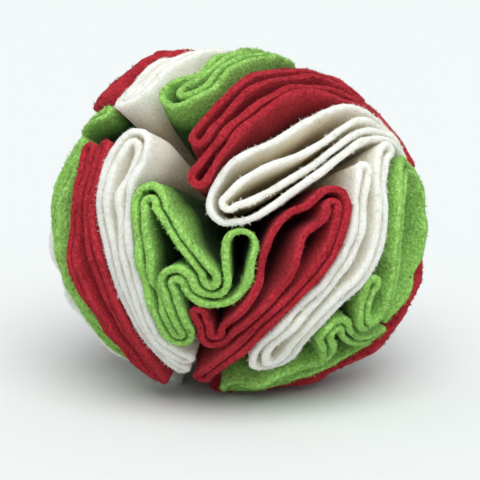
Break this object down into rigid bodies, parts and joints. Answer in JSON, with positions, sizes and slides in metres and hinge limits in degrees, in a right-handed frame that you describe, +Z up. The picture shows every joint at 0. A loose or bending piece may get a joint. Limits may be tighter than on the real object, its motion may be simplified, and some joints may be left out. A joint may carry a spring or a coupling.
{
  "type": "dog snuffle ball",
  "caption": "Dog snuffle ball: round fleece discs folded in quarters and gathered into a soft ball, whose folds hide treats; red, green and off-white, with a small flat spot.",
  "frame": {"origin": "on the floor below the middle of the ball", "axes": "+Z up, -Y towards the side shown in front, +X to its right"},
  "size_m": [0.1512, 0.1498, 0.1352],
  "materials": {
    "red_fleece": "soft brushed pile, matte",
    "green_fleece": "soft brushed pile, matte",
    "white_fleece": "soft brushed pile, matte"
  },
  "bodies": {
    "root": {"green_front": "green_fleece", "red_front": "red_fleece", "white_left": "white_fleece", "red_left": "red_fleece", "green_left": "green_fleece", "white_low_left": "white_fleece", "white_right": "white_fleece", "white_top": "white_fleece", "red_top": "red_fleece", "green_top": "green_fleece", "white_top_left": "white_fleece", "red_top_left": "red_fleece", "green_up_left": "green_fleece", "green_right": "green_fleece", "green_low": "green_fleece", "red_low": "red_fleece", "white_up_right": "white_fleece", "red_up_right": "red_fleece", "red_top_right": "red_fleece", "white_back_right": "white_fleece", "green_back_right": "green_fleece", "red_back_right": "red_fleece", "white_back": "white_fleece", "green_back": "green_fleece", "red_back_left": "red_fleece", "white_back_left": "white_fleece", "red_far_left": "red_fleece", "green_low_back": "green_fleece"}
  },
  "joints": []
}
